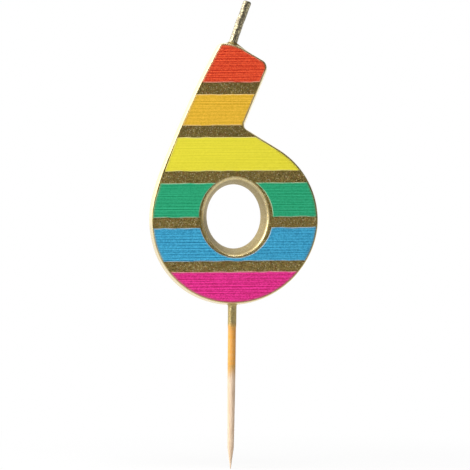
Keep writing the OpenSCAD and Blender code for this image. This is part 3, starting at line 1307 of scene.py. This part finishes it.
@dataclass(frozen=True)
class Skewer:
    """The turned wooden skewer and the sleeve of gold dip on its upper end."""

    upper: float
    lower: float
    radius: float = 1.2
    slim: float = 0.2
    taper: float = 0.5
    dip_l: float = 7.3
    shank_l: float = 12.7
    point_l: float = 6.4
    tip_r: float = 0.1
    lean: float = 0.55
    offset: float = 0.08
    sleeve_t: float = 0.08
    sleeve_flare: float = 0.05
    sleeve_flaky: float = 0.75
    sleeve_lump: float = 0.015
    sleeve_lump_w: float = 1.4
    sleeve_lump_run: float = 2.0
    sleeve_thin: float = 0.12
    sleeve_tuck: float = 0.03
    sleeve_core: float = 0.5
    sleeve_rows: int = 110
    fillet: float = 0.5
    fillet_from: float = 0.5
    fillet_reach: float = 0.25
    sleeve_top: float = 0.9
    drip: float = 0.45
    drip_w: float = 1.3
    stain_end: float = -20.0
    fibre: float = 0.012
    fibre_w: float = 0.7
    fibre_run: float = 25.0
    warp: float = 0.02
    warp_l: float = 11.0
    plain_r: float = 0.3
    point_rows: int = 40
    wood_rows: int = 260
    turns: int = 72

    def lathe(self, heights: np.ndarray, radii: np.ndarray) -> np.ndarray:
        """Points round the skewer's line, which leans a little to the left below the digit.

        Args:
            heights: heights of the points, rows by turns.
            radii: their distances from the line, rows by turns.

        Returns:
            A grid of rows by turns.
        """
        turn = np.linspace(0, FULL_TURN, self.turns, endpoint=False)
        below = np.clip(heights / self.lower, 0, None)
        line = -self.offset - self.lean * below
        return np.stack([radii * np.cos(turn) + line, radii * np.sin(turn), heights], axis=-1)

    def wood_radius(self, heights: np.ndarray) -> np.ndarray:
        """Radius of the wood: a slim cone in the wax, a straight shank, a taper and a point."""
        marks = [self.lower, self.lower + self.point_l, -self.dip_l - self.shank_l, -self.dip_l, self.upper]
        full, slim = self.radius, self.radius - self.slim / 2
        return np.interp(heights, marks, [self.tip_r, full - self.taper / 2, full, full, slim])

    def build_wood(self) -> bpy.types.Object:
        """Makes the skewer, with flats and fibres that a dowel keeps from its making and a blunt tip."""
        point = self.lower + self.point_l * Ease.START.steps(self.point_rows)
        rest = np.linspace(self.lower + self.point_l, self.upper, self.wood_rows)[1:]
        heights = np.repeat(np.concatenate([point, rest])[:, None], self.turns, axis=1)
        radii = self.wood_radius(heights)
        grid = self.lathe(heights, radii)
        fibres = self.fibre * ripples(grid / (1, 1, self.fibre_run), self.fibre_w, Seed.FIBRES)
        warp = self.warp * ripples(grid, self.warp_l, Seed.WARP)
        grid = self.lathe(heights, radii + (fibres + warp) * (radii > self.plain_r))
        tip, top = (self.lathe(heights[[row]], np.zeros((1, self.turns))) for row in (0, -1))
        return stitch("wooden_skewer", [Patch(np.concatenate([tip, grid, top]), round_trip=True)])

    def build_sleeve(self) -> bpy.types.Object:
        """Makes the dip's sleeve: a thin lumpy skin that flares at the digit and ends in drips below."""
        share = Ease.ENDS.steps(self.sleeve_rows)[:, None]
        turn = np.linspace(0, FULL_TURN, self.turns, endpoint=False)
        hang = np.stack([np.cos(turn), np.sin(turn)], axis=-1)
        end = -self.dip_l - self.drip * ripples(hang, self.drip_w, Seed.DRIPS)
        heights = end + (self.sleeve_top - end) * share
        skin = self.sleeve_t + self.sleeve_flare * share
        below = np.clip(self.fillet_from - heights, 0, None)
        flare = self.fillet * np.exp(-below / self.fillet_reach)
        wood = self.wood_radius(heights)
        grid = self.lathe(heights, wood)
        lumps = ripples(grid / (1, 1, self.sleeve_lump_run), self.sleeve_lump_w, Seed.LUMPS)
        thin = np.clip(share / self.sleeve_thin, 0, 1) ** 0.5
        radii = wood + (skin + self.sleeve_lump * lumps) * thin + flare - self.sleeve_tuck * (1 - thin)
        outer = self.lathe(heights, radii)
        inner, cap = (self.lathe(heights[[row]], wood[[row]] * self.sleeve_core) for row in (0, -1))
        middle = np.repeat(heights[[0]].mean(keepdims=True), self.turns, 1)
        hub, lid = (self.lathe(level, np.zeros((1, self.turns))) for level in (middle, heights[[-1]]))
        grid = np.concatenate([hub, inner, outer, cap, lid])
        flaky = np.full(grid.shape[:2], self.sleeve_flaky)
        return stitch("gold_dip_sleeve", [Patch(grid, round_trip=True)], {GoldDip.attribute: flaky})

    def dress(self, gold: bpy.types.Material) -> None:
        """Builds the wood and the sleeve and puts both on the candle.

        Args:
            gold: the dip's finish.
        """
        wood = self.build_wood()
        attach(wood, Body.CANDLE.value)
        finish_piece(wood, SkewerWood(-self.dip_l, self.stain_end).material(), ["skewer"])
        sleeve = self.build_sleeve()
        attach(sleeve, Body.CANDLE.value)
        finish_piece(sleeve, gold, [])


@dataclass(frozen=True)
class Wick:
    """The wick as one cord, from its root in the wax to its cut tip, with glitter on its free length."""

    line: WickLine
    root: float = 47.2
    free: float = 12.5
    glitter_from: float = 2.4
    tip_cut: float = 2.0
    flake: float = 0.22
    flake_tilt: float = 0.09
    flake_step: float = 0.025
    flake_jitter: tuple[float, float] = (0.1, 0.9)
    lumps: float = 0.03
    lump_l: float = 2.2
    wander: float = 0.08
    wander_l: float = 9.0
    tip_round: float = 0.22
    tip_share: float = 0.035
    cap_r: float = 0.72
    cap_rise: float = 0.1
    cap_rows: int = 9
    root_rows: int = 24
    bend_before: float = 1.4
    bend_after: float = 2.0
    turns: int = 100
    rows: int = 230

    def flakes(self, around: np.ndarray, along: np.ndarray) -> tuple[np.ndarray, np.ndarray]:
        """Height and luck of the glitter at places on the cord's unrolled surface.

        Each place belongs to the nearest of the jittered points of a square grid, which closes round the
        cord, and its height is that flake's own tilted plane.

        Args:
            around: distance round the cord.
            along: distance along it.

        Returns:
            Heights in millimetres, and the flake's random value from 0 to 1.
        """
        rng = np.random.default_rng(Seed.FLAKES)
        ring = round(FULL_TURN * self.line.radius / self.flake)
        size = FULL_TURN * self.line.radius / ring
        column, row = np.floor(around / size).astype(int), np.floor(along / size).astype(int)
        seats = ring, row.max() + 4
        jitter = rng.uniform(*self.flake_jitter, (2, *seats))
        tilts = rng.normal(0, self.flake_tilt, (2, *seats))
        lucks = rng.uniform(0, 1, seats)
        best = np.full(around.shape, np.inf)
        height, luck = np.zeros(around.shape), np.zeros(around.shape)
        for right, up in np.ndindex(3, 3):
            i, j = column + right - 1, row + up - 1
            seat = i % ring, j + 1
            off_around = around - (i + jitter[0][seat]) * size
            off_along = along - (j + jitter[1][seat]) * size
            distance = off_around ** 2 + off_along ** 2
            nearer = distance < best
            best = np.where(nearer, distance, best)
            plane = tilts[0][seat] * off_around + tilts[1][seat] * off_along
            height = np.where(nearer, plane + self.flake_step * (lucks[seat] - 0.5), height)
            luck = np.where(nearer, lucks[seat], luck)
        return height, luck

    def build(self) -> bpy.types.Object:
        """Makes the cord: a plain root, a glittering free length and a cap on the cut."""
        line = self.line
        turn = np.linspace(0, FULL_TURN, self.turns, endpoint=False)
        slope = math.tan(math.radians(self.tip_cut))
        last = self.free - line.radius * (1 - np.cos(turn)) * slope
        deep = np.linspace(-self.root, -self.glitter_from, self.root_rows)[:-1]
        plain = np.broadcast_to(deep[:, None], (len(deep), self.turns))
        share = np.linspace(0, 1, self.rows)[:, None]
        painted_glint = -self.glitter_from + (last + self.glitter_from) * share
        around = np.broadcast_to(turn * line.radius, painted_glint.shape)
        height, luck = self.flakes(around, painted_glint + self.glitter_from)
        surface = np.stack([np.cos(turn) + 0 * painted_glint, np.sin(turn) + 0 * painted_glint, painted_glint], axis=-1)
        lumpy = self.lumps * ripples(surface, self.lump_l, Seed.CORD)
        rounded = 1 - self.tip_round * np.clip(1 - (1 - share) / self.tip_share, 0, 1) ** 2
        radii = (line.radius + height + lumpy) * rounded
        inward = np.linspace(self.cap_r, 0, self.cap_rows)[:, None]
        cap_rise = self.cap_rise * (1 - inward ** 2)
        cap_along = self.free - line.radius * (1 - inward * np.cos(turn)) * slope + cap_rise
        around = np.broadcast_to(turn * line.radius, cap_along.shape)
        cap_height, cap_luck = self.flakes(around, cap_along + self.glitter_from + self.flake)
        cap_along = cap_along + cap_height * np.sin(math.pi * inward / self.cap_r)
        cap_radii = line.radius * inward + 0 * cap_along
        along = np.concatenate([plain[:1], plain, painted_glint, cap_along])
        radius = np.concatenate([0 * plain[:1], 0 * plain + line.radius, radii, cap_radii])
        lucks = np.concatenate([0 * plain[:1], 0 * plain, luck, cap_luck])
        drift = ripples(along[..., None], self.wander_l, Seed.DRIFT) * np.clip(along / self.free, 0, 1)
        points = line.pivot + along[..., None] * line.axis
        points = points + (radius * np.cos(turn) + self.wander * drift)[..., None] * line.side
        points = points + (radius * np.sin(turn))[..., None] * np.array([0, 1, 0])
        return stitch("wick_cord", [Patch(points, round_trip=True)], {WickGlitter.attribute: lucks})

    def dress(self) -> None:
        """Builds the cord and dresses it in glitter in the place of the frame's wick and its root."""
        cord = self.build()
        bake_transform(cord)
        glitter = WickGlitter().material()
        finish_piece(cord, glitter, ["wick", "wick_root"])


@dataclass(frozen=True)
class Lamp:
    """A square soft lamp that shines on the candle."""

    name: str
    azimuth: float
    elevation: float
    level: float
    size: float
    distance: float = 0.7

    def build(self, target: Vector) -> None:
        """Adds the lamp.

        A diffuse surface that faces it gets level times the light at which a colour renders as written.

        Args:
            target: what the lamp is turned to.
        """
        data = bpy.data.lights.new(self.name, "AREA")
        data.size = self.size
        data.energy = self.level * math.pi ** 2 * self.distance ** 2
        lamp = bpy.data.objects.new(self.name, data)
        away = direction_to(self.azimuth, self.elevation)
        lamp.location = target + self.distance * away
        lamp.rotation_euler = away.to_track_quat("Z", "Y").to_euler()
        bpy.context.scene.collection.objects.link(lamp)


def direction_to(azimuth: float, elevation: float) -> Vector:
    """Unit vector from the candle to a place round it; azimuth 0 is in front, and 90 on the right."""
    turn, rise = math.radians(azimuth), math.radians(elevation)
    return Vector((math.sin(turn) * math.cos(rise), -math.cos(turn) * math.cos(rise), math.sin(rise)))


@dataclass(frozen=True)
class Studio:
    """White floor and surroundings, soft lamps, and the camera at the photograph's angle."""

    floor_z: float
    azimuth: float = -3.3
    elevation: float = 0.3
    distance: float = 0.8
    target: tuple[float, float, float] = (0.75, 0.0, 21.15)
    frame_w: float = 141.0
    sensor_w: float = 36.0
    floor_half: float = 6.0
    floor_white: Colour = Colour(244, 244, 244)
    floor_glow: float = 0.85
    shadow_reach: tuple[float, float] = (40.0, 160.0)
    ambient: float = 0.25
    behind_camera: float = 0.05
    right_shade: float = 0.75
    backdrop: float = 0.2
    left_glow: float = 0.35
    room_rises: tuple[float, float] = (-0.8, 0.1)
    backdrop_rises: tuple[float, float] = (0.1, 0.8)
    left_rises: tuple[float, float] = (-0.2, -0.8)
    shade_rises: tuple[float, float] = (0.0, 0.7)
    lamps: tuple[Lamp, ...] = (
        Lamp("key_lamp", -65, 26, 1.15, 0.55),
        Lamp("fill_lamp", 55, 15, 0.06, 0.6),
        Lamp("top_lamp", 5, 72, 0.3, 0.3),
        Lamp("rim_lamp", -112, 36, 0.34, 0.7),
    )

    def seen_rays(self, graph: Graph) -> tuple[Wire, Wire]:
        """Whether a ray comes from the camera, and whether from there, from gloss or through glass."""
        camera = graph.node("ShaderNodeLightPath", output="Is Camera Ray")
        return camera, camera + camera.out("Is Glossy Ray") + camera.out("Is Transmission Ray")

    def build_world(self) -> None:
        """White surroundings for what is seen, darker behind the camera, and a plain level of light."""
        world = bpy.data.worlds.new("white_surroundings")
        bpy.context.scene.world = world
        world.use_nodes = True
        graph = Graph(world.node_tree)
        camera, seen = self.seen_rays(graph)
        ray = graph.node("ShaderNodeTexCoord", output="Generated")
        ahead = graph.node("ShaderNodeSeparateXYZ", inputs={0: ray}, output="Y")
        across = ahead.out("X")
        room = graph.between(ahead, *self.room_rises) * (1 - self.behind_camera) + self.behind_camera
        room = room + graph.between(ahead, *self.backdrop_rises) * self.backdrop
        room = room + graph.between(across, *self.left_rises) * self.left_glow
        shaded = 1 - graph.between(across, *self.shade_rises) * self.right_shade
        level = camera + (seen - camera) * room * shaded + (1 - seen) * shaded * self.ambient
        shade = graph.node("ShaderNodeBackground", inputs={"Color": (1, 1, 1, 1), "Strength": level})
        graph.node("ShaderNodeOutputWorld", inputs={"Surface": shade})

    def build_floor(self) -> None:
        """A pale floor that runs into the white surroundings and keeps the candle's soft shadow."""
        reach = np.linspace(-self.floor_half, self.floor_half, 3) / MM
        right, deep = np.meshgrid(reach, reach)
        grid = np.stack([right, deep, np.full(right.shape, self.floor_z)], axis=-1)
        floor = stitch("pale_floor", [Patch(grid)])
        material, graph = new_material("pale_floor")
        _, seen = self.seen_rays(graph)
        place = graph.place()
        radius = graph.node("ShaderNodeVectorMath", {"operation": "LENGTH"}, {0: place}, "Value")
        far = graph.between(radius, *self.shadow_reach)
        glow = far * (1 - self.floor_glow) + self.floor_glow
        plain = graph.node("ShaderNodeBsdfDiffuse", inputs={"Color": self.floor_white.linear()})
        white = graph.node("ShaderNodeEmission", inputs={"Color": (1, 1, 1, 1), "Strength": 1.0})
        mixed = graph.node("ShaderNodeMixShader", inputs={0: seen * glow, 1: plain, 2: white})
        graph.node("ShaderNodeOutputMaterial", inputs={"Surface": mixed})
        floor.data.materials.append(material)

    def build_camera(self) -> None:
        """The camera, whose frame is frame_w wide at the target."""
        data = bpy.data.cameras.new("camera")
        data.sensor_width = self.sensor_w
        data.lens = self.sensor_w * self.distance / (self.frame_w * MM)
        camera = bpy.data.objects.new("camera", data)
        away = direction_to(self.azimuth, self.elevation)
        camera.location = Vector(self.target) * MM + self.distance * away
        camera.rotation_euler = away.to_track_quat("Z", "Y").to_euler()
        bpy.context.scene.collection.objects.link(camera)
        bpy.context.scene.camera = camera

    def build(self) -> None:
        """Sets up the whole studio."""
        bpy.context.scene.view_settings.view_transform = "Standard"
        self.build_world()
        self.build_floor()
        for lamp in self.lamps:
            lamp.build(Vector(self.target) * MM)
        self.build_camera()


def dress_inside(node: str, material: bpy.types.Material) -> None:
    """Gives a solid of the frame that stays as it is a better material.

    Args:
        node: the solid's name.
        material: its new finish.
    """
    for slot in frame["nodes"][node].material_slots:
        slot.material = material
    log.info("%s: dressed", node)


def main() -> None:
    """Builds the candle's pieces in order, then the studio."""
    logging.basicConfig(level=logging.INFO, format="%(message)s")
    low, high = (np.array(corner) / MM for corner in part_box("gold_coat"))
    outline = DigitOutline()
    line = WickLine(np.array(frame["joints"][0]["pos_m"]) / MM)
    coat = GoldCoat(outline, line, front=low[1], back=high[1], bowl_x=high[0] - outline.bowl_r)
    gold = GoldDip().material()
    skin = coat.build()
    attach(skin, Body.CANDLE.value)
    finish_piece(skin, gold, ["gold_coat"])
    stripe_low, stripe_high = (np.array(corner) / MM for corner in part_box("red_stripe"))
    StripeFace(coat, thickness=stripe_high[1] - stripe_low[1]).dress()
    skewer_low, skewer_high = (np.array(corner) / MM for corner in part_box("skewer"))
    Skewer(upper=skewer_high[2], lower=skewer_low[2]).dress(gold)
    Wick(line).dress()
    dress_inside("wax_core", CastWax().material())
    Studio(floor_z=skewer_low[2]).build()


if __name__ == "__main__":
    main()
